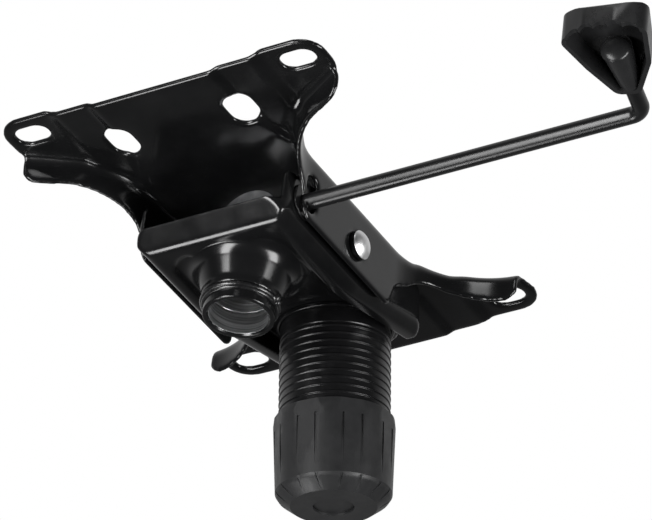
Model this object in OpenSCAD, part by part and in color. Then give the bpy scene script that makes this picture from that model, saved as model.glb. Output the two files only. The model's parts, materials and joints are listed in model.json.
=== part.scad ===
// Office chair tilt mechanism: seat plate, drawn housing, gas lift socket, tension knob and lift lever.
// Frame: X is the chair's right, the lever side. Y is forward, the knob side. Z is up.
// The origin is on the gas lift axis, at the middle of the straight mouth of the socket.
// Heights in the modules are measured from the top of the four screw pads, and place() moves them.

/* [Seat plate] */
// distance between the slot centres, left to right
slot_w = 147; // [140:1:160]
// distance between the slot rows, rear to front
slot_l = 200; // [190:1:215]
// distance from the gas lift axis back to the rear slot row
socket_back = 83.2; // [78:0.2:90]
// width of a screw slot
slot_d = 11; // [7:0.5:11.5]
// length of a screw slot, end to end
slot_len = 18; // [14:0.5:22]
// thickness of the seat plate sheet
sheet = 2.5; // [2:0.1:3]
// height of each of the two pressed steps
step_h = 1.65; // [0.6:0.05:2]
// outer radius of the fold between plate and flange
bend_r = 7; // [5:0.2:7.4]
// distance between the outer faces of the two side walls
wall_w = 92; // [90:0.5:98]
// depth of the side walls below the pads
wall_deep = 41; // [38:0.2:44]
// depth of the arm flanges below the pads
flange_deep = 15.5; // [12:0.5:18]
// width of the two oval holes behind the housing
oval_w = 14; // [8:0.5:16]
// length of the two oval holes, rear to front
oval_l = 19.6; // [15:0.1:24]

/* [Housing] */
// thickness of the housing sheet
pan_t = 2.5; // [2:0.1:3]
// running gap between housing and seat plate walls, each side
side_gap = 2; // [1.6:0.1:3]
// height of the housing floor, measured down from the pads
floor_z = 46.75; // [46:0.25:50]
// upward slope of the front floor in degrees
floor_slope = 14.5; // [12:0.5:16]
// size of the slanted lower corner
corner_cut = 4.5; // [3.5:0.1:6]
// half width of the pressed pocket
pocket_w = 30.5; // [29.5:0.1:31.5]

/* [Gas lift socket] */
// radius of the straight mouth that takes the gas lift
bore_r = 14.2; // [13.8:0.05:14.6]
// wall of the socket tube
tube_wall = 3; // [2.5:0.1:3.4]
// radius of the tapered bore at its top
bore_top_r = 13.3; // [12.8:0.05:13.6]
// height of the tube mouth, measured down from the pads
mouth_z = 72.5; // [71:0.1:76]
// length of the straight mouth
mouth_len = 13; // [10:0.5:15]

/* [Tilt pivot] */
// distance of the pivot in front of the gas lift axis
pivot_y = 23.3; // [22:0.1:26]
// height of the pivot, measured down from the pads
pivot_z = 27.8; // [27:0.1:29]
// radius of the pivot pin
pin_r = 5; // [4:0.1:6]
// radius of the round pin heads
head_r = 7.1; // [6.5:0.1:8]
// tilt of the seat plate at its stop in degrees
tilt_max = 12; // [8:0.5:12]

/* [Tension knob] */
// forward lean of the sleeve and knob at the bottom in degrees
knob_lean = 10.76; // [9:0.02:12]
// place of the sleeve top on the knob axis, in front of the gas lift
sleeve_y = 80.3; // [79:0.1:81]
// height of the sleeve top, measured down from the pads
sleeve_z = 24.8; // [24.3:0.1:26]
// radius of the sleeve between the ribs
sleeve_r = 26.8; // [25.5:0.1:26.8]
// height of a sleeve rib
rib_h = 0.5; // [0.2:0.05:0.5]
// spacing of the sleeve ribs
rib_pitch = 3.9; // [3.2:0.1:5]
// length of the sleeve
sleeve_len = 64; // [58:0.5:66]
// distance from the sleeve top down to the knob rim
rim_drop = 50.7; // [46:0.1:54]
// height of the knob
knob_h = 44.8; // [42:0.1:50]
// radius of the knob over its corners
knob_r = 29.5; // [29.3:0.05:31]
// distance from the knob axis to its flats
knob_flat = 28.7; // [28.6:0.05:29.2]
// running gap between knob and sleeve ribs
knob_gap = 0.5; // [0.35:0.05:0.6]

/* [Lift lever] */
// radius of the lever rod
rod_r = 4; // [3.5:0.1:4.2]
// distance of the rod behind the gas lift axis
rod_y = 18.9; // [18.5:0.1:19.5]
// height of the rod, measured down from the pads
rod_z = 30.5; // [30:0.1:31]
// reach of the rod to its bend, from the middle of the chair
rod_x = 220; // [190:1:240]
// angle by which the handle leans outward of straight back
handle_out = 12.5; // [0:0.5:20]
// lift of the lever at its stop in degrees
lift_max = 5; // [3:0.5:5]

/* [Hidden] */
$fn = 96;
eps = 0.01;
tube_r = bore_r + tube_wall;
steel = "#1d1e20";
zinc = "#b9bcc0";
black = "#151617";
wall_x = wall_w / 2;
pan_x = wall_x - sheet - side_gap;
mid_z = -2 * step_h;
under_z = mid_z - sheet;
rear_row = -socket_back;
front_row = slot_l - socket_back;
rear_edge = rear_row - 12.4;
front_edge = front_row + 14.9;
slot_x = slot_w / 2;
arm_x = slot_x + 14.9;
oval_x = 33;
oval_y = rear_row + 18.4;
// rear arm: outer face of the flange is an arc and then a straight line
ra_r = 43.5;
ra_a = 240;
ra_c = [wall_x + ra_r, 64 - 83.2];
ra_len = 22.5;
// front arm, the same way
fa_r = 43.5;
fa_a = 93;
fa_c = [wall_x + fa_r, 57.7];
clear = 0.08;

// points along an arc
function arcp(c, r, a0, a1, n) =
    [for (i = [0:n]) let (a = a0 + (a1 - a0) * i / n) [c[0] + r * cos(a), c[1] + r * sin(a)]];
function mirrored(p) = [for (i = [len(p) - 1:-1:0]) [-p[i][0], p[i][1]]];
function along(c, r, a, s, sgn) =
    [c[0] + r * cos(a) + sgn * s * sin(a), c[1] + r * sin(a) - sgn * s * cos(a)];
// outline of a convex shape whose corners have one radius, corner centres given anticlockwise
function rounded(c, r, n) = [for (i = [0:len(c) - 1])
    let (p = c[(i + len(c) - 1) % len(c)], q = c[(i + 1) % len(c)],
        a0 = atan2(c[i][1] - p[1], c[i][0] - p[0]) - 90,
        b = atan2(q[1] - c[i][1], q[0] - c[i][0]) - 90,
        a1 = b < a0 ? b + 360 : b)
    each arcp(c[i], r, a0, a1, n)];

// height of the pressed sheet: two sloping steps, the inner one shifts with y
function ramp(v, a, b) = max(0, min(1, (v - a) / (b - a)));
function step_a(y) = y < -60 ? 32.5
    : y < -19 ? 32.5 + 14.1 * (y + 60) / 41
    : y < 60 ? 46.6
    : y < 96 ? 46.6 - 13.6 * (y - 60) / 36
    : 33;
function level(x, y) = mid_z + step_h * ramp(x, step_a(y), step_a(y) + 3.4) + step_h * ramp(x, 53.5, 59);

// moves a sub-part from pad height to the height of the socket mouth
module place() {
    translate([0, 0, mouth_z - mouth_len / 2]) children();
}

module yz(y0, h) {
    // draws a Y, Z outline and extrudes it along X from y0 over the length h
    translate([y0, 0, 0])
        rotate([90, 0, 90])
            linear_extrude(height = h)
                children();
}

module on_knob_axis() {
    translate([0, sleeve_y, -sleeve_z])
        rotate([knob_lean, 0, 0])
            children();
}

module both_sides() {
    children();
    mirror([1, 0, 0]) children();
}

// lower edge of walls and flanges, seen from the side: y and height
function low_edge() = let (fd = flange_deep, wd = wall_deep) concat(
    [[-110, -fd - 0.9], [rear_row + 19, -fd - 0.9], [-60.5, -fd - 0.3], [-57, -fd + 0.1],
        [-54, -fd - 0.3], [-50.5, -fd - 1.2], [-47, -fd - 2.1], [-43, -fd - 3.2], [-38.1, -fd - 4.7],
        [-34.7, -fd - 6.1], [-32.2, -fd - 7.4], [-29.4, -fd - 9.4], [-27, -fd - 11.7]],
    arcp([-27.6, -wd + 10], 3, 10, 0, 2),
    arcp([-17.9, -wd + 6], 6, 195, 270, 6),
    arcp([52.4, -wd + 5], 5, 270, 345, 6),
    [[59.2, -wd + 12.2], [61.8, -wd + 15.6]],
    arcp([82, -fd - 14.6 + 2], 14.2, 145, 90, 7),
    [[89, -fd + 0.9], [93.5, -fd + 0.2], [97, -fd - 0.9], [100, -fd - 1.4], [110, -fd - 1.4]]);
// the flanges are rounded off at the four arm tips
tip_r = 9;
function low_tip(x) = let (u = x - (arm_x - tip_r))
    u < 0 ? -100 : 7.5 - flange_deep - sqrt(max(0, tip_r * tip_r - u * u));

// places along the outer face of wall and flange, each with its inward direction
function on_arc(c, r, a) = [c[0] + r * cos(a), c[1] + r * sin(a), cos(a), sin(a)];
function fold_stations() = concat(
    [for (k = [1, 0.93, 0.85, 0.75, 0.6, 0.3]) let (p = along(ra_c, ra_r, ra_a, (ra_len + 0.6) * k, -1))
        [p[0], p[1], cos(ra_a), sin(ra_a)]],
    [for (i = [0:12]) on_arc(ra_c, ra_r, ra_a - (ra_a - 194) * i / 12)],
    [for (a = [193:-1:180]) on_arc(ra_c, ra_r, a)],
    [for (y = [-17.9, 0, 30, 52.4, 53.7, 54.9, 55.9, 56.7, 57.3]) [wall_x, y, -1, 0]],
    [for (a = [180:-1:169]) on_arc(fa_c, fa_r, a)],
    [for (i = [0:21]) on_arc(fa_c, fa_r, 168 + (fa_a - 168) * i / 21)]);
// the fold ends in a tongue that lies inside the sheet
tongue = 1.2;
skin = 0.4;
function fold_pts(t, low) = let (
    g = function(u) level(t[0] + u * t[2], t[1] + u * t[3]),
    h = g(bend_r), k = g(bend_r + tongue))
    concat(
        [[0, low], [sheet, low]],
        [for (v = arcp([bend_r, -bend_r], bend_r - sheet, 180, 90, 4)) [v[0], v[1] + h]],
        [[bend_r, h - sheet + skin], [bend_r + tongue, k - sheet + skin],
            [bend_r + tongue, k - skin], [bend_r, h - skin]],
        [for (v = arcp([bend_r, -bend_r], bend_r, 90, 180, 6)) [v[0], v[1] + h]]);
module arm_folds() {
    st = fold_stations();
    tab = low_edge();
    sec = [for (t = st) fold_pts(t, max(lookup(t[1], tab), low_tip(t[0])))];
    n = len(sec[0]);
    m = len(st);
    polyhedron(
        points = [for (j = [0:m - 1], q = sec[j])
            [st[j][0] + q[0] * st[j][2], st[j][1] + q[0] * st[j][3], q[1]]],
        faces = concat([[for (i = [0:n - 1]) i]], [[for (i = [n - 1:-1:0]) (m - 1) * n + i]],
            [for (j = [0:m - 2], i = [0:n - 1]) let (k = (i + 1) % n, a = j * n, b = a + n)
                each [[a + k, a + i, b + i], [a + k, b + i, b + k]]]),
        convexity = 10);
}

// plan view of the flat sheet, up to the start of the folds
module sheet_outline() {
    right = concat(
        [[0, rear_edge + 0.9], [54, rear_edge + 0.9], [60, rear_edge]],
        arcp([slot_x + 2, rear_row + 0.6], 13, -90, 0, 10),
        [[arm_x - 0.2, rear_row + 8]],
        [along(ra_c, ra_r + bend_r - 0.15, ra_a, ra_len + 1.2, -1)],
        [for (j = [1:len(fold_stations()) - 1]) let (t = fold_stations()[j])
            [t[0] + (bend_r - 0.15) * t[2], t[1] + (bend_r - 0.15) * t[3]]],
        arcp([slot_x + 2.1, front_row - 0.6], 13, 0, 90, 10),
        [[61, front_edge - 2.4], [47, front_edge - 0.7], [36, front_edge - 0.5], [0, front_edge]]
    );
    polygon(concat(right, mirrored(right)));
}

// section of the pressed sheet; a is where the inner step begins
function sheet_pts(a) = let (
    top = [[a, mid_z], [a + 3.4, -step_h], [53.5, -step_h], [59, 0], [110, 0]],
    low = [for (v = top) [v[0], v[1] - sheet]], n = len(top) - 1)
    concat(top, [for (i = [n:-1:0]) low[i]],
        [for (v = low) [-v[0], v[1]]], [for (i = [n:-1:0]) [-top[i][0], top[i][1]]]);
// the whole sheet, swept from rear to front while the inner step moves in and out
module pressed_sheet() {
    ys = [rear_edge - 5, -60, -19, 60, 96, front_edge + 5];
    sec = [for (y = ys) sheet_pts(step_a(y))];
    n = len(sec[0]);
    m = len(ys);
    polyhedron(
        points = [for (j = [0:m - 1], q = sec[j]) [q[0], ys[j], q[1]]],
        faces = concat([[for (i = [0:n - 1]) i]], [[for (i = [n - 1:-1:0]) (m - 1) * n + i]],
            [for (j = [0:m - 2], i = [0:n - 1]) let (k = (i + 1) % n, a = j * n, b = a + n)
                each [[a + k, a + i, b + i], [a + k, b + i, b + k]]]),
        convexity = 10);
}

module slot(x, y) {
    translate([x, y, -10])
        linear_extrude(height = 20) {
            square([slot_len - slot_d, slot_d], center = true);
            translate([(slot_len - slot_d) / 2, 0]) circle(r = slot_d / 2);
            translate([-(slot_len - slot_d) / 2, 0]) circle(r = slot_d / 2);
        }
}

module oval(x, y) {
    translate([x, y, -10])
        linear_extrude(height = 20) {
            square([oval_w, oval_l - oval_w], center = true);
            translate([0, (oval_l - oval_w) / 2]) circle(r = oval_w / 2);
            translate([0, -(oval_l - oval_w) / 2]) circle(r = oval_w / 2);
        }
}

module cross_hole(y, z, r, x0, x1) {
    translate([x0, y, z])
        rotate([0, 90, 0])
            cylinder(r = r, h = x1 - x0);
}

module seat_plate() color(steel) difference() {
    union() {
        intersection() {
            pressed_sheet();
            translate([0, 0, -20]) linear_extrude(height = 30) sheet_outline();
        }
        both_sides() arm_folds();
    }
    for (sx = [-1, 1]) {
        slot(sx * slot_x, rear_row);
        slot(sx * slot_x, front_row);
        oval(sx * oval_x - 1.2, oval_y);
    }
    cross_hole(pivot_y, -pivot_z, pin_r + 1.55, -wall_x - 5, wall_x + 5);
    // tall opening for the lever rod, with a round seat at its foot
    cross_hole(-rod_y, -rod_z - 0.5, rod_r + 1.3, wall_x - 5, wall_x + 5);
    translate([wall_x - 5, -rod_y - rod_r - 0.6, -rod_z])
        cube([10, 2 * rod_r + 1.2, 9]);
    cross_hole(-rod_y, -rod_z + 9, rod_r + 0.6, wall_x - 5, wall_x + 5);
}

// pressed bracket under the plate that carries the crossbar of the tension bolt
bar_up = 10;
bar_r = 4.5;
bar_y = sleeve_y - bar_up * sin(knob_lean);
bar_z = -sleeve_z + bar_up * cos(knob_lean);
module hanger_bracket() color(steel) difference() {
    union() {
        translate([-16, bar_y - 11, under_z - 2.5]) cube([32, 22, 2.5]);
        for (sx = [-1, 1])
            yz(sx > 0 ? 13.5 : -16, 2.5)
                intersection() {
                    translate([bar_y - 9, bar_z - 6]) square([18, under_z - bar_z + 6]);
                    union() {
                        translate([bar_y, bar_z]) circle(r = 7);
                        translate([bar_y - 9, bar_z + 1]) square([18, 12]);
                    }
                }
    }
    cross_hole(bar_y, bar_z, bar_r + clear, -20, 20);
    translate([0, bar_y, under_z - 4]) cylinder(r = 6.5, h = 8);
}

// housing section: floor at v = 0, slanted lower corners, inset by d
pan_f = 5;
function pan_side(d) = concat(
    arcp([pan_x - corner_cut - 0.414 * pan_f, pan_f], pan_f - d, -90, -45, 4),
    arcp([pan_x - pan_f, corner_cut + 0.414 * pan_f], pan_f - d, -45, 0, 4),
    [[pan_x - d, 44]]);
bend_pan = 60;
bend_y0 = 31 - bend_pan * tan(floor_slope / 2);

// the channel of floor and walls, swept forward and bent upward in front of the socket
module pan_sweep(d) {
    s = pan_side(d);
    p = concat(s, mirrored(s));
    ye = bend_y0 + bend_pan * sin(floor_slope);
    ze = bend_pan * (1 - cos(floor_slope)) - floor_z;
    st = concat([[-60, -floor_z, 0]],
        [for (i = [0:6]) let (a = floor_slope * i / 6)
            [bend_y0 + bend_pan * sin(a), bend_pan * (1 - cos(a)) - floor_z, a]],
        [[ye + 110 * cos(floor_slope), ze + 110 * sin(floor_slope), floor_slope]]);
    n = len(p);
    m = len(st);
    polyhedron(
        points = [for (t = st, q = p) [q[0], t[0] - q[1] * sin(t[2]), t[1] + q[1] * cos(t[2])]],
        faces = concat([[for (i = [n - 1:-1:0]) i]], [[for (i = [0:n - 1]) (m - 1) * n + i]],
            [for (j = [0:m - 2], i = [0:n - 1]) let (k = (i + 1) % n, a = j * n, b = a + n)
                each [[a + i, a + k, b + i], [a + k, b + k, b + i]]]),
        convexity = 10);
}

lip_y = -39.6;
lip_z = floor_z - 9.1;
module pan_rear(d) {
    k = d * 0.7071;
    fr = 7;
    cy = lip_y + 9.1 + fr * 0.4142;
    yz(-60, 120)
        polygon(concat(
            [[lip_y - 40 + k, 40 - lip_z + k]],
            arcp([cy, -floor_z + fr], fr - d, 225, 270, 6),
            [[cy, -90], [200, -90], [200, 40 - lip_z + k]]));
    // the same volume, open toward the front
}

module pan_plan(d) {
    translate([0, 0, -90])
        linear_extrude(height = 100)
            polygon(concat(
                [[pan_x + 5 - d, 200]],
                [[pan_x + 5 - d, -20], [pan_x - d, -24]],
                arcp([pan_x - 12, -28.2], 12 - d, 0, -90, 7),
                mirrored(concat([[pan_x + 5 - d, 200]],
                    [[pan_x + 5 - d, -20], [pan_x - d, -24]],
                    arcp([pan_x - 12, -28.2], 12 - d, 0, -90, 7)))));
}

nose_r = 31.5;
module pan_front(d) {
    on_knob_axis()
        translate([0, 0, -60])
            linear_extrude(height = 120) {
                polygon(concat(
                    [[pan_x + 6, -180]],
                    arcp([pan_x - 9, 7.3], 9 - d, 0, 90, 8),
                    mirrored(concat([[pan_x + 6, -180]], arcp([pan_x - 9, 7.3], 9 - d, 0, 90, 8)))));
                translate([0, 1]) circle(r = nose_r - d);
            }
}

module pan_solid(d) {
    intersection() {
        pan_sweep(d);
        pan_rear(d);
        pan_plan(d);
        pan_front(d);
    }
}

// pocket pressed up into the floor, grown by d
pocket_y = -22;
module pocket(d) {
    s = tan(knob_lean);
    ya = 12;
    yb = 50;
    za = -floor_z + 1.5;
    zb = -sleeve_z + (yb - sleeve_y) * s;
    intersection() {
        yz(-pocket_w - d, 2 * (pocket_w + d))
            polygon([[pocket_y - d, -90], [pocket_y - d, za + d], [ya - 0.2 * d, za + d],
                [yb - 0.1 * d, zb + d / cos(knob_lean)],
                [140, -sleeve_z + (140 - sleeve_y) * s + d / cos(knob_lean)], [140, -90]]);
        translate([0, 0, -95])
            linear_extrude(height = 120)
                polygon(rounded([[pocket_w - 12, pocket_y + 12], [pocket_w - 12, 160],
                    [12 - pocket_w, 160], [12 - pocket_w, pocket_y + 12]], 12 + d, 8));
    }
}

// drawn collar: a cone that flares from its neck into the floor
collar_r = tube_r + 1.7;
collar_z = floor_z + 18;
dome_z = floor_z - 1.5;
flare = 28;
flare_r = 5;
neck_h = 15.5;
flare_out = collar_r + (flare_r - (flare_r - neck_h) * sin(flare)) / cos(flare);
inner_h = neck_h + (cos(flare) * (collar_r - tube_r - 0.1) - pan_t) / sin(flare);
module dome(d) {
    rotate_extrude()
        polygon(concat(
            [[0, -dome_z + d + eps], [flare_out, -dome_z + d + eps]],
            arcp([flare_out, -dome_z - flare_r], flare_r + d, 90, 180 - flare, 8),
            d > 0 ? [[tube_r + 0.1, -dome_z - inner_h], [tube_r + 0.1, -90], [0, -90]]
                : [[collar_r, -dome_z - neck_h], [collar_r, -collar_z], [0, -collar_z]]));
}

// side view of what stays of the housing above its floor
module pan_keep() {
    s = tan(tilt_max - 0.15);
    ztop = under_z - 1.5;
    yk = pivot_y + 6;
    polygon(concat(
        [[-70, -100], [-70, -lip_z]],
        [[-33.2 - 3, -lip_z]],
        arcp([-33.2 - 3, -lip_z + 3], 3, 270, 360, 5),
        [[-33.2, ztop - (yk + 31.7) * s - 1.5], [-31.7, ztop - (yk + 31.7) * s]],
        [[yk, ztop], [150, ztop], [150, -100]]));
}

bolt_r = 5;
module housing() color(steel) difference() {
    intersection() {
        difference() {
            union() {
                difference() {
                    pan_solid(0);
                    pocket(0);
                }
                dome(0);
            }
            difference() {
                pan_solid(pan_t);
                pocket(pan_t);
            }
            dome(pan_t);
        }
        yz(-80, 160) pan_keep();
    }
    cross_hole(pivot_y, -pivot_z, pin_r + 2.1, -60, 60);
    cross_hole(-rod_y, -rod_z, rod_r + 3.1, 10, 60);
    on_knob_axis() translate([0, 0, -8]) cylinder(r = bolt_r + 4, h = 20);
}

tube_top = floor_z - 3.7;
module socket_tube() color("#8d9095") rotate_extrude()
    polygon([[bore_r + 0.9, -mouth_z], [tube_r - 0.4, -mouth_z], [tube_r, -mouth_z + 0.4],
        [tube_r, -tube_top], [bore_top_r, -tube_top], [bore_r - 0.3, -mouth_z + mouth_len],
        [bore_r, -mouth_z + mouth_len - 0.3], [bore_r, -mouth_z + 0.9]]);

// weld run between the drawn collar and the tube, with the lump where it ends
module socket_weld() color("#3a3b3d") difference() {
    union() {
        translate([0, 0, -collar_z - 0.9])
            rotate_extrude() translate([tube_r + 0.8, 0]) circle(r = 1.25, $fn = 24);
        translate([0, 0, -collar_z - 2.4])
            rotate_extrude() translate([tube_r + 0.2, 0]) circle(r = 1.0, $fn = 24);
        translate([tube_r + 2.0, 1.2, -collar_z - 1.0]) sphere(r = 2.1, $fn = 32);
        translate([tube_r + 1.3, 3.6, -collar_z - 1.9]) sphere(r = 1.7, $fn = 32);
    }
    translate([0, 0, -90]) cylinder(r = tube_r + 0.02, h = 60);
    translate([0, 0, -collar_z - 0.02]) cylinder(r = 40, h = 20);
}

washer_t = 1.6;
module pivot_pin() color(zinc) {
    cross_hole(pivot_y, -pivot_z, pin_r, -wall_x - 2.4, wall_x + 2.4);
    both_sides()
        translate([wall_x + 2.2, pivot_y, -pivot_z])
            rotate([0, 90, 0])
                rotate_extrude()
                    intersection() {
                        translate([0, -6.4]) circle(r = 9.8);
                        square([head_r, 6]);
                    }
}

module pivot_bushes() color(black) both_sides() difference() {
    union() {
        cross_hole(pivot_y, -pivot_z, pin_r + 2.0, pan_x - pan_t - 1, pan_x + 0.2);
        cross_hole(pivot_y, -pivot_z, pin_r + 5, pan_x + 0.1, wall_x - sheet - 0.1);
    }
    cross_hole(pivot_y, -pivot_z, pin_r + 0.05, 20, 60);
}

module pivot_washers() color("#242527") both_sides() difference() {
    union() {
        cross_hole(pivot_y, -pivot_z, pin_r + 1.5, wall_x - sheet - 0.05, wall_x + 0.4);
        cross_hole(pivot_y, -pivot_z, pin_r + 1.9, wall_x + 0.1, wall_x + 2.15);
    }
    cross_hole(pivot_y, -pivot_z, pin_r + 0.05, 20, 60);
}

module pivot_spacer() color(zinc) difference() {
    cross_hole(pivot_y, -pivot_z, pin_r + 1.8, -pan_x + pan_t + 1.2, pan_x - pan_t - 1.2);
    cross_hole(pivot_y, -pivot_z, pin_r + 0.1, -60, 60);
}

rib_from = 11.5;
rib_n = floor((sleeve_len - rib_from - 3) / rib_pitch) + 1;
sleeve_in = sleeve_r - 2;
module sleeve() color(black) on_knob_axis() rotate_extrude()
    polygon(concat(
        [[sleeve_in, 0], [sleeve_r + 0.3, 0], [sleeve_r + 0.3, -rib_from + 2], [sleeve_r, -rib_from + 1.6]],
        [for (i = [0:rib_n - 1]) let (z = -rib_from - i * rib_pitch)
            each [[sleeve_r, z + 0.7], [sleeve_r + rib_h, z + 0.3],
                [sleeve_r + rib_h, z - 0.3], [sleeve_r, z - 0.7]]],
        [[sleeve_r, -sleeve_len], [sleeve_in, -sleeve_len]]));

module sleeve_ring() color(steel) on_knob_axis() difference() {
    translate([0, 0, -2.2]) cylinder(r = sleeve_r + 2.2, h = 2.2 - 0.02);
    translate([0, 0, -3]) cylinder(r = sleeve_r + 0.35, h = 4);
}

seat_low = -3;
module spring_seat() color(zinc) on_knob_axis() difference() {
    union() {
        translate([0, 0, seat_low]) cylinder(r = sleeve_in - 0.2, h = -seat_low - 0.02);
        translate([0, 0, seat_low - 4]) cylinder(r = 14.5, h = 4.5);
    }
    translate([0, 0, -20]) cylinder(r = bolt_r + 4, h = 30);
}

// height of the core inside the knob, and of the nut's seat in it
core_h = 25;
nut_low = 16;
nut_top = rim_drop + knob_h - core_h;
cup_z = -nut_top + 5;
wire_r = 2.8;
coil_r = 19.2;
spring_top = seat_low - 0.05;
spring_low = cup_z + 0.05;
turns = 6.5;
steps = 20;
// centre line of the spring: a closed turn at each end and open turns between
function coil_z(t) = let (e = 0.75, h0 = spring_low + wire_r, h1 = spring_top - wire_r,
    u = max(0, min(1, (t - e) / (turns - 2 * e)))) h0 + (h1 - h0) * u;
module tension_spring() color("#5b5e62") on_knob_axis() {
    m = 10;
    n = turns * steps;
    rings = [for (i = [0:n]) let (a = 360 * i / steps)
        for (j = [0:m - 1]) let (b = 360 * j / m)
            [(coil_r + wire_r * cos(b)) * cos(a), (coil_r + wire_r * cos(b)) * sin(a),
                coil_z(i / steps) + wire_r * sin(b)]];
    sides = [for (i = [0:n - 1], j = [0:m - 1]) let (k = (j + 1) % m)
        each [[i * m + j, (i + 1) * m + j, (i + 1) * m + k], [i * m + j, (i + 1) * m + k, i * m + k]]];
    ends = [[for (j = [0:m - 1]) j], [for (j = [m - 1:-1:0]) n * m + j]];
    polyhedron(points = rings, faces = concat(sides, ends), convexity = 10);
}

module spring_cup() color(zinc) on_knob_axis() difference() {
    union() {
        translate([0, 0, cup_z - 2.5]) cylinder(r = sleeve_in - 0.9, h = 2.5);
        translate([0, 0, cup_z - 0.5]) cylinder(r = 14.5, h = 5.5);
    }
    translate([0, 0, cup_z - 5]) cylinder(r = bolt_r + 0.4, h = 20);
}

module thrust_washer() color("#d8d3c4") on_knob_axis() difference() {
    translate([0, 0, -nut_top + 0.05]) cylinder(r = 15, h = cup_z - 2.55 + nut_top - 0.05);
    translate([0, 0, -nut_top - 5]) cylinder(r = bolt_r + 0.4, h = 20);
}

bolt_end = rim_drop + knob_h - nut_low + 1;
module tension_bolt() color(zinc) on_knob_axis() difference() {
    union() {
        translate([0, 0, -bolt_end]) cylinder(r = bolt_r, h = bolt_end + bar_up);
        translate([-19, 0, bar_up]) rotate([0, 90, 0]) cylinder(r = bar_r, h = 38);
        translate([0, 0, bar_up]) sphere(r = bar_r + 1.6);
    }
    for (z = [0:11])
        translate([0, 0, -bolt_end + 2 + z * 2])
            rotate_extrude()
                polygon([[bolt_r + 1, 0.85], [bolt_r - 0.55, 0], [bolt_r + 1, -0.85]]);
}

knob_top = -rim_drop;
knob_low = -rim_drop - knob_h;
knob_in = sleeve_r + rib_h + knob_gap;
knob_turn = 26.4;
groove_w = 1.3;
groove_d = 0.65;
// the slanted lower edge of the knob
edge_h = 6.6;
edge_in = 7.4;
module knob() color(black) on_knob_axis() difference() {
    intersection() {
        rotate_extrude()
            polygon([[0, knob_low], [knob_r - 1.2 - edge_in, knob_low], [knob_r - 2.6, knob_low + edge_h - 2],
                [knob_r - 1.3, knob_low + edge_h], [knob_r, knob_top - 4], [knob_r - 0.4, knob_top], [0, knob_top]]);
        translate([0, 0, knob_low - 1])
            rotate([0, 0, knob_turn])
                cylinder(r = knob_flat / cos(22.5), h = knob_h + 2, $fn = 8);
    }
    // room for the sleeve and the spring, with a core left round the nut
    difference() {
        translate([0, 0, knob_low + 4]) cylinder(r = 21.5, h = 4.2);
        translate([0, 0, knob_low]) cylinder(r = 14, h = core_h);
    }
    difference() {
        translate([0, 0, knob_low + 8]) cylinder(r = knob_in, h = knob_h);
        translate([0, 0, knob_low]) cylinder(r = 14, h = core_h);
    }
    // seat of the nut, and room under it for the end of the bolt
    translate([0, 0, knob_low + nut_low]) cylinder(r = nut_r + 0.1, h = 12, $fn = 6);
    translate([0, 0, knob_low + 4]) cylinder(r = bolt_r + 0.6, h = nut_low);
    // recess under the knob for its cap disc
    translate([0, 0, knob_low - 1]) cylinder(r = 10, h = 3.2);
    // two narrow grooves on each flat, turning in under the knob
    for (i = [0:7], sg = [-1, 1])
        rotate([0, 0, knob_turn + 22.5 + i * 45])
            translate([knob_flat, sg * 4.75, 0]) {
                translate([-groove_d, -groove_w / 2, knob_low + edge_h - 1.4])
                    cube([3, groove_w, knob_h - edge_h + 1.4 - 7.4]);
                translate([-1, -groove_w / 2, knob_low + edge_h - 1])
                    rotate([0, 48, 0])
                        translate([-groove_d, 0, -7.5])
                            cube([3, groove_w, 8]);
            }
}

nut_r = 9.6;
module knob_nut() color(zinc) on_knob_axis() difference() {
    translate([0, 0, knob_low + nut_low + 0.1]) cylinder(r = nut_r, h = 8, $fn = 6);
    translate([0, 0, knob_low]) cylinder(r = bolt_r + 0.1, h = 40);
}

module knob_disc() color("#1c1d1f") on_knob_axis()
    translate([0, 0, knob_low + 1.25]) cylinder(r = 9.9, h = 0.9);

// lever: straight rod, tight bend and a short leg that goes back into the paddle
bend_rod = 7;
leg_len = 43;
leg_turn = 90 - handle_out;
leg_back = bend_rod * tan(leg_turn / 2);
module at_handle() {
    translate([rod_x, -rod_y, -rod_z])
        rotate([0, 0, handle_out])
            children();
}
module lever_rod() color(steel) translate([rod_x - leg_back, -rod_y, -rod_z]) {
    translate([leg_back - rod_x - 14, 0, 0])
        rotate([0, 90, 0])
            cylinder(r = rod_r, h = rod_x - leg_back + 14);
    translate([0, -bend_rod, 0]) {
        rotate_extrude(angle = leg_turn, start = handle_out)
            translate([bend_rod, 0]) circle(r = rod_r);
        rotate([0, 0, handle_out])
            translate([bend_rod, 0.25, 0])
                rotate([90, 0, 0])
                    cylinder(r = rod_r - 0.02, h = leg_len - leg_back + 0.25);
    }
}

// stamped arm on the inner end of the rod, its tongue lies over the gas lift button
module release_arm() color("#55585c") difference() {
    union() {
        cross_hole(-rod_y, -rod_z, rod_r + 2.5, -8, 16);
        translate([-7, 3 - rod_y, -rod_z - 2.6]) cube([14, rod_y + 4, 2.6]);
        translate([0, -rod_y - rod_r - 0.3, 0])
            rotate([90, 0, 0])
                linear_extrude(height = 2.5)
                    polygon(concat([[2, -rod_z - 5], [28, -rod_z - 5]],
                        arcp([15, -rod_z - 7.3], 17, 42, 138, 10)));
    }
    cross_hole(-rod_y, -rod_z, rod_r + 0.02, -40, 60);
}

module release_tip() color("#e4dfd2")
    translate([0, 0, -rod_z - 2.6 - 3.05]) cylinder(r = 6, h = 3);

module lever_bush() color(black) difference() {
    union() {
        cross_hole(-rod_y, -rod_z, rod_r + 3, pan_x - pan_t - 0.5, pan_x + 0.1);
        cross_hole(-rod_y, -rod_z, rod_r + 5, pan_x + 0.05, pan_x + 1.2);
        cross_hole(-rod_y, -rod_z, rod_r + 5, pan_x - pan_t - 1.5, pan_x - pan_t - 0.05);
    }
    cross_hole(-rod_y, -rod_z, rod_r + 0.25, 20, 60);
}

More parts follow.
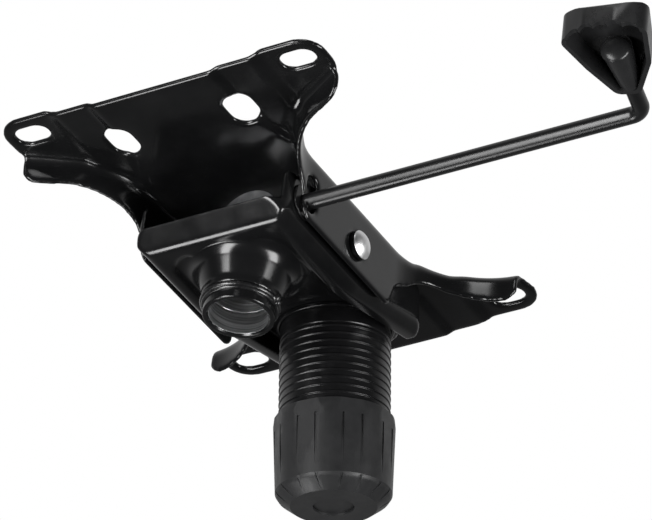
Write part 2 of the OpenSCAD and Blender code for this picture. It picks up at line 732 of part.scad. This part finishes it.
module lever_clip() color(zinc) difference() {
    cross_hole(-rod_y, -rod_z, rod_r + 3, pan_x - pan_t - 3.6, pan_x - pan_t - 2.4);
    cross_hole(-rod_y, -rod_z, rod_r + 0.02, 0, 60);
}

// paddle: hollow shell, open below, deep rim with finger hollows at its rear end
pad_skin = 2.2;
pad_low = 5;
pad_c = [[-3, -25], [-10.5, -42], [-16.2, -59], [-8, -63.4], [4, -63.6], [12.9, -60], [9.7, -41.2], [1.4, -24.5]];
pad_r = 5;
function pad_pts(d) = rounded(pad_c, pad_r - d, 6);
boss_end = 47;
module pad_side(d) {
    polygon(concat([[-18, pad_low + 0.6 - d], [-60, 9.4 - d]],
        arcp([-63.5, 4.2], 5.2 - d, 80, 180, 6),
        [[-68.7 + d, -pad_low - (d > 0 ? 20 : 0)], [-18, -pad_low - (d > 0 ? 20 : 0)]]));
}
module paddle() color(black) at_handle() {
    difference() {
        intersection() {
            translate([0, 0, -24]) linear_extrude(height = 48) polygon(pad_pts(0));
            yz(-40, 100) pad_side(0);
        }
        intersection() {
            translate([0, 0, -24]) linear_extrude(height = 48) polygon(pad_pts(pad_skin));
            yz(-40, 100) pad_side(pad_skin);
        }
        // finger hollows along the lower edge of the rear wall
        for (i = [0:4])
            translate([-15 + i * 6.6, -58, -pad_low - 1.6])
                rotate([90, 0, 0])
                    cylinder(r = 4, h = 20, $fn = 40);
        translate([0, 0, 0]) rotate([90, 0, 0]) cylinder(r = rod_r + 0.02, h = 26);
    }
    // tapered boss that grips the rod
    difference() {
        intersection() {
            translate([0, -21, 0]) rotate([90, 0, 0]) cylinder(r1 = 5, r2 = 7.2, h = boss_end - 21);
            yz(-40, 100)
                polygon([[-18, pad_low + 0.1], [-60, 8.9], [-60, -8], [-18, -8]]);
        }
        rotate([90, 0, 0]) cylinder(r = rod_r + 0.02, h = leg_len + 0.05);
    }
}

place() seat_plate();
place() hanger_bracket();
place() housing();
place() socket_tube();
place() socket_weld();
place() pivot_pin();
place() pivot_bushes();
place() pivot_washers();
place() pivot_spacer();
place() sleeve();
place() sleeve_ring();
place() spring_seat();
place() tension_spring();
place() spring_cup();
place() thrust_washer();
place() tension_bolt();
place() knob();
place() knob_nut();
place() knob_disc();
place() lever_rod();
place() release_arm();
place() release_tip();
place() lever_bush();
place() lever_clip();
place() paddle();
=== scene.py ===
"""Looks for the office chair tilt mechanism: gloss black steel, satin plastic, a zinc pin head."""

import json
import math

import bmesh
import bpy
from mathutils import Matrix, Vector

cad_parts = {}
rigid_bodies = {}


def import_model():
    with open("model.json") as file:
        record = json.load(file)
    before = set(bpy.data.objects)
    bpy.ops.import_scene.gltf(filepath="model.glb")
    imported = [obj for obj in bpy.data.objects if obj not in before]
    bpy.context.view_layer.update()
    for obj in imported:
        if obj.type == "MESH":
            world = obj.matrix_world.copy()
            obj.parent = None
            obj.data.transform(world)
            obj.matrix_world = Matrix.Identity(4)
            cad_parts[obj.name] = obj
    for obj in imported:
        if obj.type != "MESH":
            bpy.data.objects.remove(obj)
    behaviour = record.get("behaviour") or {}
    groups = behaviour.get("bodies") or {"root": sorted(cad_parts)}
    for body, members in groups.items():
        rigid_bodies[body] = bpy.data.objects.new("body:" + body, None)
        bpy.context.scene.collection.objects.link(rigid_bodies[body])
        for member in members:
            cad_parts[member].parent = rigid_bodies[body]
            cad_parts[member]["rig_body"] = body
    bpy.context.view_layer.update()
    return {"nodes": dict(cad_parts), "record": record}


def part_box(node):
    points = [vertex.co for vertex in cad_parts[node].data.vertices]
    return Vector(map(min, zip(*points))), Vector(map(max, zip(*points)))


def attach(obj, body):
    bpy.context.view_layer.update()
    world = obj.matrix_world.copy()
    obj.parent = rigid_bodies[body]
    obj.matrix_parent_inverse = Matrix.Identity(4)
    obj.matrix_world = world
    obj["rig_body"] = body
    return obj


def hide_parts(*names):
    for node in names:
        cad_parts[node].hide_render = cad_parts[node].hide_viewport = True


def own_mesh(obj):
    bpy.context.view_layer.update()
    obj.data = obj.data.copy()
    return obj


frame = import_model()
nodes = frame["nodes"]
body_of = {n: o["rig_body"] for n, o in nodes.items()}
slot_of = {s["node"]: s["material_slot"] for s in frame["record"]["subparts"]}
MM = 0.001


# materials
class Graph:
    """A material with a Principled shader, and short helpers for its nodes."""

    def __init__(self, name, **values):
        self.mat = bpy.data.materials.new(name)
        self.mat.use_nodes = True
        self.tree = self.mat.node_tree
        self.shader = self.tree.nodes["Principled BSDF"]
        for key, value in values.items():
            self.shader.inputs[key.replace("_", " ")].default_value = value
        self.coord = self.tree.nodes.new("ShaderNodeTexCoord").outputs["Object"]

    def link(self, a, b):
        self.tree.links.new(a, b)

    def noise(self, scale, detail=3.0, rough=0.55, stretch=None):
        n = self.tree.nodes.new("ShaderNodeTexNoise")
        n.inputs["Scale"].default_value = scale
        n.inputs["Detail"].default_value = detail
        n.inputs["Roughness"].default_value = rough
        source = self.coord
        if stretch:
            m = self.tree.nodes.new("ShaderNodeMapping")
            m.inputs["Scale"].default_value = stretch
            self.link(source, m.inputs["Vector"])
            source = m.outputs["Vector"]
        self.link(source, n.inputs["Vector"])
        return n.outputs["Fac"]

    def spread(self, fac, low, high, start=0.35, end=0.65):
        """The noise value stretched to run from low to high."""
        r = self.tree.nodes.new("ShaderNodeMapRange")
        r.inputs["From Min"].default_value = start
        r.inputs["From Max"].default_value = end
        r.inputs["To Min"].default_value = low
        r.inputs["To Max"].default_value = high
        self.link(fac, r.inputs["Value"])
        return r.outputs["Result"]

    def rough(self, fac, low, high):
        """A roughness that drifts between low and high."""
        self.link(self.spread(fac, low, high), self.shader.inputs["Roughness"])

    def tint(self, fac, dark, light, start=0.35, end=0.65):
        """A base colour that drifts between dark and light."""
        r = self.tree.nodes.new("ShaderNodeValToRGB")
        r.color_ramp.elements[0].position = start
        r.color_ramp.elements[0].color = (*dark, 1)
        r.color_ramp.elements[1].position = end
        r.color_ramp.elements[1].color = (*light, 1)
        self.link(fac, r.inputs["Fac"])
        self.link(r.outputs["Color"], self.shader.inputs["Base Color"])

    def bump(self, fac, distance, strength, under=None):
        b = self.tree.nodes.new("ShaderNodeBump")
        b.inputs["Distance"].default_value = distance
        b.inputs["Strength"].default_value = strength
        self.link(fac, b.inputs["Height"])
        if under is not None:
            self.link(under, b.inputs["Normal"])
        self.link(b.outputs["Normal"], self.shader.inputs["Normal"])
        return b.outputs["Normal"]


def black_paint():
    """Electro-coated steel: near black, glossy, with a faint orange peel and duller drifts."""
    g = Graph("black_powder_coat", Metallic=0.0)
    g.shader.inputs["IOR"].default_value = 1.5
    g.tint(g.noise(38.0, 4.0), (0.0035, 0.0036, 0.0038), (0.006, 0.0061, 0.0064))
    g.rough(g.noise(90.0, 3.0), 0.15, 0.2)
    g.bump(g.noise(70.0, 2.0), 0.00004, 0.2)
    return g.mat


def plastic(name, dark, light, rough, grain):
    """Moulded plastic with a fine spark-eroded grain."""
    g = Graph(name, Metallic=0.0)
    g.shader.inputs["IOR"].default_value = 1.42
    g.tint(g.noise(60.0, 4.0), dark, light)
    g.rough(g.noise(220.0, 4.0), *rough)
    fine = g.bump(g.noise(3200.0, 2.0), grain, 0.55)
    g.bump(g.noise(160.0, 3.0), 0.00001, 0.15, fine)
    return g.mat


def zinc():
    """Bright zinc plate with faint cloudy passivation."""
    g = Graph("zinc_plated_steel", Metallic=1.0)
    g.tint(g.noise(170.0, 4.0), (0.82, 0.825, 0.83), (0.92, 0.925, 0.93))
    g.rough(g.noise(300.0, 4.0), 0.34, 0.44)
    g.bump(g.noise(900.0, 3.0), 0.00001, 0.3)
    return g.mat


def metal(name, dark, light, rough):
    """Uncoated steel with a faint grain."""
    g = Graph(name, Metallic=1.0)
    g.tint(g.noise(150.0, 4.0), dark, light)
    g.rough(g.noise(260.0, 4.0), *rough)
    g.bump(g.noise(1000.0, 3.0), 0.00002, 0.4)
    return g.mat


def turned():
    """Inside of the socket: bright turning marks run round the bore."""
    g = Graph("turned_steel", Metallic=1.0, Anisotropic=0.75)
    rings = g.noise(60.0, 4.0, 0.7, stretch=(0.35, 0.35, 13.0))
    g.tint(rings, (0.30, 0.303, 0.31), (0.95, 0.955, 0.96), 0.36, 0.66)
    g.rough(g.noise(240.0, 4.0), 0.36, 0.46)
    g.bump(rings, 0.0002, 0.5)
    return g.mat


def weld_paint():
    """Paint over a weld run: glossy, with the run's small ripples."""
    g = Graph("weld_paint", Metallic=0.0, Coat_Weight=0.3, Coat_Roughness=0.1)
    g.tint(g.noise(500.0, 4.0), (0.005, 0.005, 0.0053), (0.009, 0.009, 0.0095))
    g.rough(g.noise(300.0, 4.0), 0.2, 0.34)
    g.bump(g.noise(420.0, 3.0), 0.0003, 0.6)
    return g.mat


def rod_paint():
    """The same paint on the drawn rod, where it lies smoother and a little duller."""
    g = Graph("rod_paint", Metallic=0.0)
    g.tint(g.noise(38.0, 4.0), (0.0045, 0.0046, 0.0048), (0.0065, 0.0066, 0.007))
    g.rough(g.noise(60.0, 3.0), 0.25, 0.31)
    return g.mat


def paddle_plastic():
    """The paddle's plastic, glossier than the other satin pieces."""
    return plastic(
        "paddle_plastic", (0.0105, 0.0106, 0.011), (0.0145, 0.0146, 0.0152), (0.26, 0.34), 0.000008)


paint = black_paint()
weld = weld_paint()
looks = {
    "black_powder_coat": paint,
    "turned_steel": turned(),
    "zinc_plated_steel": zinc(),
    "bare_steel": metal("bare_steel", (0.2, 0.2, 0.21), (0.34, 0.345, 0.35), (0.3, 0.45)),
    "spring_steel": metal("spring_steel", (0.05, 0.052, 0.055), (0.12, 0.122, 0.127), (0.3, 0.42)),
    "black_plastic": plastic(
        "black_plastic", (0.004, 0.004, 0.0043), (0.007, 0.007, 0.0074), (0.2, 0.27), 0.000004),
    "satin_black_plastic": plastic(
        "satin_black_plastic", (0.0115, 0.0117, 0.0122), (0.016, 0.0162, 0.0169), (0.38, 0.46), 0.000014),
    "natural_plastic": plastic(
        "natural_plastic", (0.66, 0.63, 0.55), (0.74, 0.71, 0.63), (0.4, 0.5), 0.000012),
}


# meshes
MERGE = 0.002 * MM
FLAT = math.radians(0.6)


def skin(node, bevel=0.3, segments=2, sharp=32.0, edge=24.0, mat=None):
    """A finished copy of a CAD node: welded, cleaned, its edges rounded and its curves shaded smooth."""
    source = nodes[node].data
    mesh = bpy.data.meshes.new(node + "_skin")
    mesh.from_pydata([v.co[:] for v in source.vertices], [], [p.vertices[:] for p in source.polygons])
    bm = bmesh.new()
    bm.from_mesh(mesh)
    bmesh.ops.remove_doubles(bm, verts=bm.verts, dist=MERGE)
    bmesh.ops.dissolve_degenerate(bm, dist=MERGE, edges=bm.edges)
    bmesh.ops.dissolve_limit(bm, angle_limit=FLAT, verts=bm.verts, edges=bm.edges)
    for f in bm.faces:
        f.smooth = True
    for e in bm.edges:
        if len(e.link_faces) == 2:
            e.smooth = e.calc_face_angle(0.0) < math.radians(sharp)
    bm.to_mesh(mesh)
    bm.free()
    ob = bpy.data.objects.new(node + "_skin", mesh)
    bpy.context.scene.collection.objects.link(ob)
    mesh.materials.append(mat or looks[slot_of[node]])
    if bevel:
        m = ob.modifiers.new("rounded_edges", "BEVEL")
        m.width = bevel * MM
        m.segments = segments
        m.limit_method = "ANGLE"
        m.angle_limit = math.radians(edge)
        m.use_clamp_overlap = True
        m.harden_normals = True
        m.miter_outer = "MITER_ARC"
    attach(ob, body_of[node])
    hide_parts(node)
    return ob


def relax(ob, rounds):
    m = ob.modifiers.new("relax", "SMOOTH")
    m.factor = 0.5
    m.iterations = rounds


def pressed(node, voxel, rounds, webs=()):
    """A finished copy of a sheet metal node, remeshed finely and relaxed, so that its bends are soft.

    webs are flat outlines with a bottom and a top, all in millimetres, that join the sheet first."""
    ob = skin(node, bevel=0)
    bm = bmesh.new()
    bm.from_mesh(ob.data)
    for outline, low, high in webs:
        rings = [[bm.verts.new((x * MM, y * MM, z * MM)) for x, y in outline] for z in (low, high)]
        bm.faces.new(rings[0][::-1])
        bm.faces.new(rings[1])
        for i in range(len(outline)):
            k = (i + 1) % len(outline)
            bm.faces.new((rings[0][i], rings[0][k], rings[1][k], rings[1][i]))
    bmesh.ops.recalc_face_normals(bm, faces=bm.faces)
    bm.to_mesh(ob.data)
    bm.free()
    m = ob.modifiers.new("remesh", "REMESH")
    m.mode = "VOXEL"
    m.voxel_size = voxel * MM
    m.use_smooth_shade = True
    relax(ob, rounds)
    graph = bpy.context.evaluated_depsgraph_get()
    fine = bpy.data.meshes.new_from_object(ob.evaluated_get(graph))
    fine.name = node + "_fine"
    ob.modifiers.clear()
    ob.data = fine
    fine.materials.clear()
    fine.materials.append(looks[slot_of[node]])
    fine.polygons.foreach_set("use_smooth", [True] * len(fine.polygons))
    return ob


# the rear pads run into their flanges without a notch
EAR_LOW, EAR_HIGH = 63.6, 65.9
ear = [(79, -79), (87.9, -79), (88.1, -76.5), (88.0, -74.5),
       (87.6, -72.5), (86.9, -70.6), (85.2, -68.6), (79, -68.6)]
other_ear = [(-x, y) for x, y in ear[::-1]]
pressed("seat_plate", 0.75, 22, [(ear, EAR_LOW, EAR_HIGH), (other_ear, EAR_LOW, EAR_HIGH)])
housing = pressed("housing", 0.6, 14)

# the drawn collar gets a wider curve than the solids have; millimetres, with depths from the pan's floor down
PAN_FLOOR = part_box("socket_tube")[0].z / MM + 27.25
NECK_R, NECK_DEPTH = 18.9, 15.5
SLOPE = math.tan(math.radians(20))
CURVE, CURVE_RIM, CURVE_DEPTH = 9, 30.8, 5.92
CAD_SLOPE = math.tan(math.radians(28))
CAD_CURVE, CAD_RIM, CAD_CURVE_DEPTH = 5, 30.15, 2.65

# which points belong to the collar's wall, and which to the floor round it; ACROSS turns a distance along
# the radius into one across the sloping wall, and ABOVE is a depth, so it lies over the floor
ACROSS = 0.88
WALL_INSIDE, WALL_OUTSIDE = -1.2, 1.0
LEVEL, ABOVE, MOUTH_R = 0.1, -1, 24


def flare(h, rim, curve):
    """The radius at depth h of a round curve that leaves the floor at the rim."""
    return rim - math.sqrt(curve ** 2 - (curve - h) ** 2)


def collar(h):
    """The new radius at depth h: the curve first, then a cone down to the neck."""
    if h < CURVE_DEPTH:
        return flare(h, CURVE_RIM, CURVE)
    return NECK_R + max(NECK_DEPTH - h, 0) * SLOPE


for v in housing.data.vertices:
    r = math.hypot(v.co.x, v.co.y) / MM
    h = PAN_FLOOR - v.co.z / MM
    cone = NECK_R + (NECK_DEPTH - h) * CAD_SLOPE
    if LEVEL < h < CAD_CURVE_DEPTH:
        cone = flare(h, CAD_RIM, CAD_CURVE)
    if LEVEL < h < NECK_DEPTH and WALL_INSIDE < (r - cone) * ACROSS < WALL_OUTSIDE:
        v.co.x *= collar(h) / r
        v.co.y *= collar(h) / r
    elif ABOVE < h <= LEVEL and MOUTH_R < r < CURVE_RIM:
        drop = CURVE - math.sqrt(CURVE ** 2 - (CURVE_RIM - r) ** 2)
        v.co.z = min(v.co.z, (PAN_FLOOR - drop) * MM)
relax(housing, 10)

skin("hanger_bracket", bevel=0.4)
skin("sleeve_ring", bevel=0.6)
skin("lever_rod", bevel=0.4, edge=40, sharp=45, mat=rod_paint())
skin("socket_weld", bevel=0.2, sharp=70, mat=weld)
skin("pivot_pin", bevel=0.35, segments=3)
sleeve = skin("sleeve", bevel=0.12, edge=30)

# the knob's axis and a point on it, and the sleeve's ribs cut down so that they clear the knob at full tilt
axis = Vector((0, -0.186696, 0.982418))
foot = Vector((0, 0.0803, 0.0412))
RIBS_FROM_R = 26.3 * MM
RIB_CUT = 0.12 * MM
for v in sleeve.data.vertices:
    along = axis * (v.co - foot).dot(axis)
    out = v.co - foot - along
    if out.length > RIBS_FROM_R:
        v.co -= out.normalized() * RIB_CUT
knob = skin("knob", edge=20, sharp=20)
knob.modifiers["rounded_edges"].harden_normals = False
knob.modifiers.new("flats", "WEIGHTED_NORMAL").keep_sharp = True
skin("knob_disc")
glossy = paddle_plastic()
paddle = skin("paddle", bevel=0.8, segments=3, edge=34, sharp=46, mat=glossy)

# the boss under the paddle ends in a low dome
BOSS_MIN_R, BOSS_MAX_R = 5.5 * MM, 8.5 * MM
BOSS_CORNERS = 12
DOME_SIDES, DOME_RINGS = 40, 9
DOME_RISE = 0.45
DOME_INSET = 0.1 * MM


def round_ends(mesh):
    """The faces that are round enough and of the right size for the end of the boss."""
    found = []
    for f in mesh.polygons:
        rim = [(mesh.vertices[k].co - f.center).length for k in f.vertices]
        if len(rim) > BOSS_CORNERS and min(rim) > BOSS_MIN_R and max(rim) < BOSS_MAX_R:
            found.append(f)
    return found


def boss_dome(mesh, face):
    """A dome that stands on a round face of the paddle's mesh."""
    center = face.center
    normal = face.normal.copy()
    side = (mesh.vertices[face.vertices[0]].co - center).normalized()
    other = normal.cross(side)
    radius = sum((mesh.vertices[k].co - center).length for k in face.vertices) / len(face.vertices)
    points, faces = [], []
    for j in range(DOME_RINGS):
        t = math.radians(90) * j / DOME_RINGS
        for i in range(DOME_SIDES):
            a = math.radians(360 / DOME_SIDES * i)
            ring = (side * math.cos(a) + other * math.sin(a)) * (radius - DOME_INSET) * math.cos(t)
            points.append(center + ring + normal * radius * DOME_RISE * math.sin(t))
            if j:
                last, after = (j - 1) * DOME_SIDES, (i + 1) % DOME_SIDES
                faces.append((last + i, last + after, last + DOME_SIDES + after, last + DOME_SIDES + i))
    points.append(center + normal * radius * DOME_RISE)
    last = (DOME_RINGS - 1) * DOME_SIDES
    for i in range(DOME_SIDES):
        faces.append((last + i, last + (i + 1) % DOME_SIDES, last + DOME_SIDES))
    dome_mesh = bpy.data.meshes.new("boss_dome")
    dome_mesh.from_pydata([p[:] for p in points], [], faces)
    dome_mesh.polygons.foreach_set("use_smooth", [True] * len(dome_mesh.polygons))
    dome_mesh.materials.append(glossy)
    dome = bpy.data.objects.new("boss_dome", dome_mesh)
    bpy.context.scene.collection.objects.link(dome)
    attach(dome, body_of["paddle"])


for face in round_ends(paddle.data)[:1]:
    boss_dome(paddle.data, face)
for name in ["pivot_bushes", "pivot_washers", "pivot_spacer", "spring_seat", "spring_cup", "thrust_washer",
             "tension_bolt", "knob_nut", "release_arm", "release_tip", "lever_bush", "lever_clip"]:
    skin(name, bevel=0.25)

# the spring, which is pressed together as the cup comes up with the tilt, gets a mesh of its own
spring = skin("tension_spring", bevel=0)
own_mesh(spring)

# the socket is painted outside and bare inside
BARE_TO_R = 14.4 * MM
tube = skin("socket_tube")
tube.data.materials.append(paint)
for f in tube.data.polygons:
    reach = max(math.hypot(*tube.data.vertices[k].co[:2]) for k in f.vertices)
    f.material_index = 0 if reach < BARE_TO_R else 1

# the camera of the photograph, worked out from the slots, the walls and the knob
PHOTO_WIDTH, FOCAL_PIXELS = 652.0, 4500.0
SENSOR = 36.0
right = Vector((0.85609, 0.50562, 0.10699))
up = Vector((0.22269, -0.54772, 0.80649))
back = Vector((0.46638, -0.66661, -0.58150))
eye = Vector((1.0238, -1.3985, -1.20555))
data = bpy.data.cameras.new("camera")
camera = bpy.data.objects.new("camera", data)
bpy.context.scene.collection.objects.link(camera)
data.sensor_width = SENSOR
data.lens = FOCAL_PIXELS / PHOTO_WIDTH * SENSOR
data.clip_start = 0.05
data.clip_end = 60.0
camera.matrix_world = Matrix((
    (right.x, up.x, back.x, eye.x),
    (right.y, up.y, back.y, eye.y),
    (right.z, up.z, back.z, eye.z),
    (0, 0, 0, 1)))
bpy.context.scene.camera = camera

# light
TARGET = Vector((0.03, 0.0, 0.02))


def lamp(name, a, u, b, size, power, size_y=None):
    """A soft box at a to the right, u up and b back along the camera's own axes, turned to the target."""
    light = bpy.data.lights.new(name, "AREA")
    light.shape = "RECTANGLE"
    light.size = size
    light.size_y = size_y or size
    light.energy = power
    ob = bpy.data.objects.new(name, light)
    bpy.context.scene.collection.objects.link(ob)
    place = TARGET + right * a + up * u + back * b
    ob.location = place
    ob.rotation_mode = "QUATERNION"
    ob.rotation_quaternion = (TARGET - place).to_track_quat("-Z", "Y")


lamp("box_left", -0.84, 0.04, 0.92, 0.44, 24.0, size_y=1.25)
lamp("box_right", 0.98, -0.24, 0.76, 0.46, 20.0, size_y=1.1)
lamp("box_low", -0.62, -1.12, 0.32, 0.45, 5.0, size_y=0.3)
lamp("box_top", 0.0, 1.4, 0.2, 0.5, 3.0)

# backdrop: white to the camera, and to other rays a grey that is dark on the camera's side and low down
world = bpy.data.worlds.new("studio")
bpy.context.scene.world = world
world.use_nodes = True
tree = world.node_tree
tree.nodes.clear()
out = tree.nodes.new("ShaderNodeOutputWorld")
mix = tree.nodes.new("ShaderNodeMixShader")
seen = tree.nodes.new("ShaderNodeBackground")
lit = tree.nodes.new("ShaderNodeBackground")
path = tree.nodes.new("ShaderNodeLightPath")
way = tree.nodes.new("ShaderNodeTexCoord")
seen.inputs["Color"].default_value = (1, 1, 1, 1)
seen.inputs["Strength"].default_value = 1.0


def ray_along(direction, start, end, low, high):
    """How far a ray heads along a direction, with start to end mapped to low to high."""
    dot = tree.nodes.new("ShaderNodeVectorMath")
    dot.operation = "DOT_PRODUCT"
    dot.inputs[1].default_value = direction
    span = tree.nodes.new("ShaderNodeMapRange")
    span.inputs["From Min"].default_value = start
    span.inputs["From Max"].default_value = end
    span.inputs["To Min"].default_value = low
    span.inputs["To Max"].default_value = high
    tree.links.new(way.outputs["Generated"], dot.inputs[0])
    tree.links.new(dot.outputs["Value"], span.inputs["Value"])
    return span.outputs["Result"]


ramp = tree.nodes.new("ShaderNodeValToRGB")
stops = ramp.color_ramp.elements
for place, grey in ((0.0, 0.6), (0.22, 0.55), (0.34, 0.26), (0.45, 0.07), (0.6, 0.03), (1.0, 0.03)):
    stop = stops[0] if place == 0 else stops[-1] if place == 1 else stops.new(place)
    stop.color = (grey, grey, grey, 1)
tree.links.new(ray_along(back, -1.0, 1.0, 0.0, 1.0), ramp.inputs["Fac"])
tree.links.new(ramp.outputs["Color"], lit.inputs["Color"])
tree.links.new(ray_along(up, -0.75, -0.1, 0.35, 1.0), lit.inputs["Strength"])
tree.links.new(path.outputs["Is Camera Ray"], mix.inputs["Fac"])
tree.links.new(lit.outputs["Background"], mix.inputs[1])
tree.links.new(seen.outputs["Background"], mix.inputs[2])
tree.links.new(mix.outputs["Shader"], out.inputs["Surface"])

# floor
FLOOR_REACH, FLOOR_Z = 9, -4.5
corners = [(x * FLOOR_REACH, y * FLOOR_REACH, FLOOR_Z) for x, y in ((-1, -1), (1, -1), (1, 1), (-1, 1))]
floor_mesh = bpy.data.meshes.new("floor")
floor_mesh.from_pydata(corners, [], [(0, 1, 2, 3)])
floor = bpy.data.objects.new("floor", floor_mesh)
bpy.context.scene.collection.objects.link(floor)
pale = Graph("pale_floor", Roughness=0.9)
pale.tint(pale.noise(3.0, 3.0), (0.86, 0.86, 0.86), (0.89, 0.89, 0.89))
floor_mesh.materials.append(pale.mat)
floor.visible_glossy = False
floor.visible_diffuse = False
floor.visible_shadow = False

bpy.context.scene.view_settings.view_transform = "Standard"
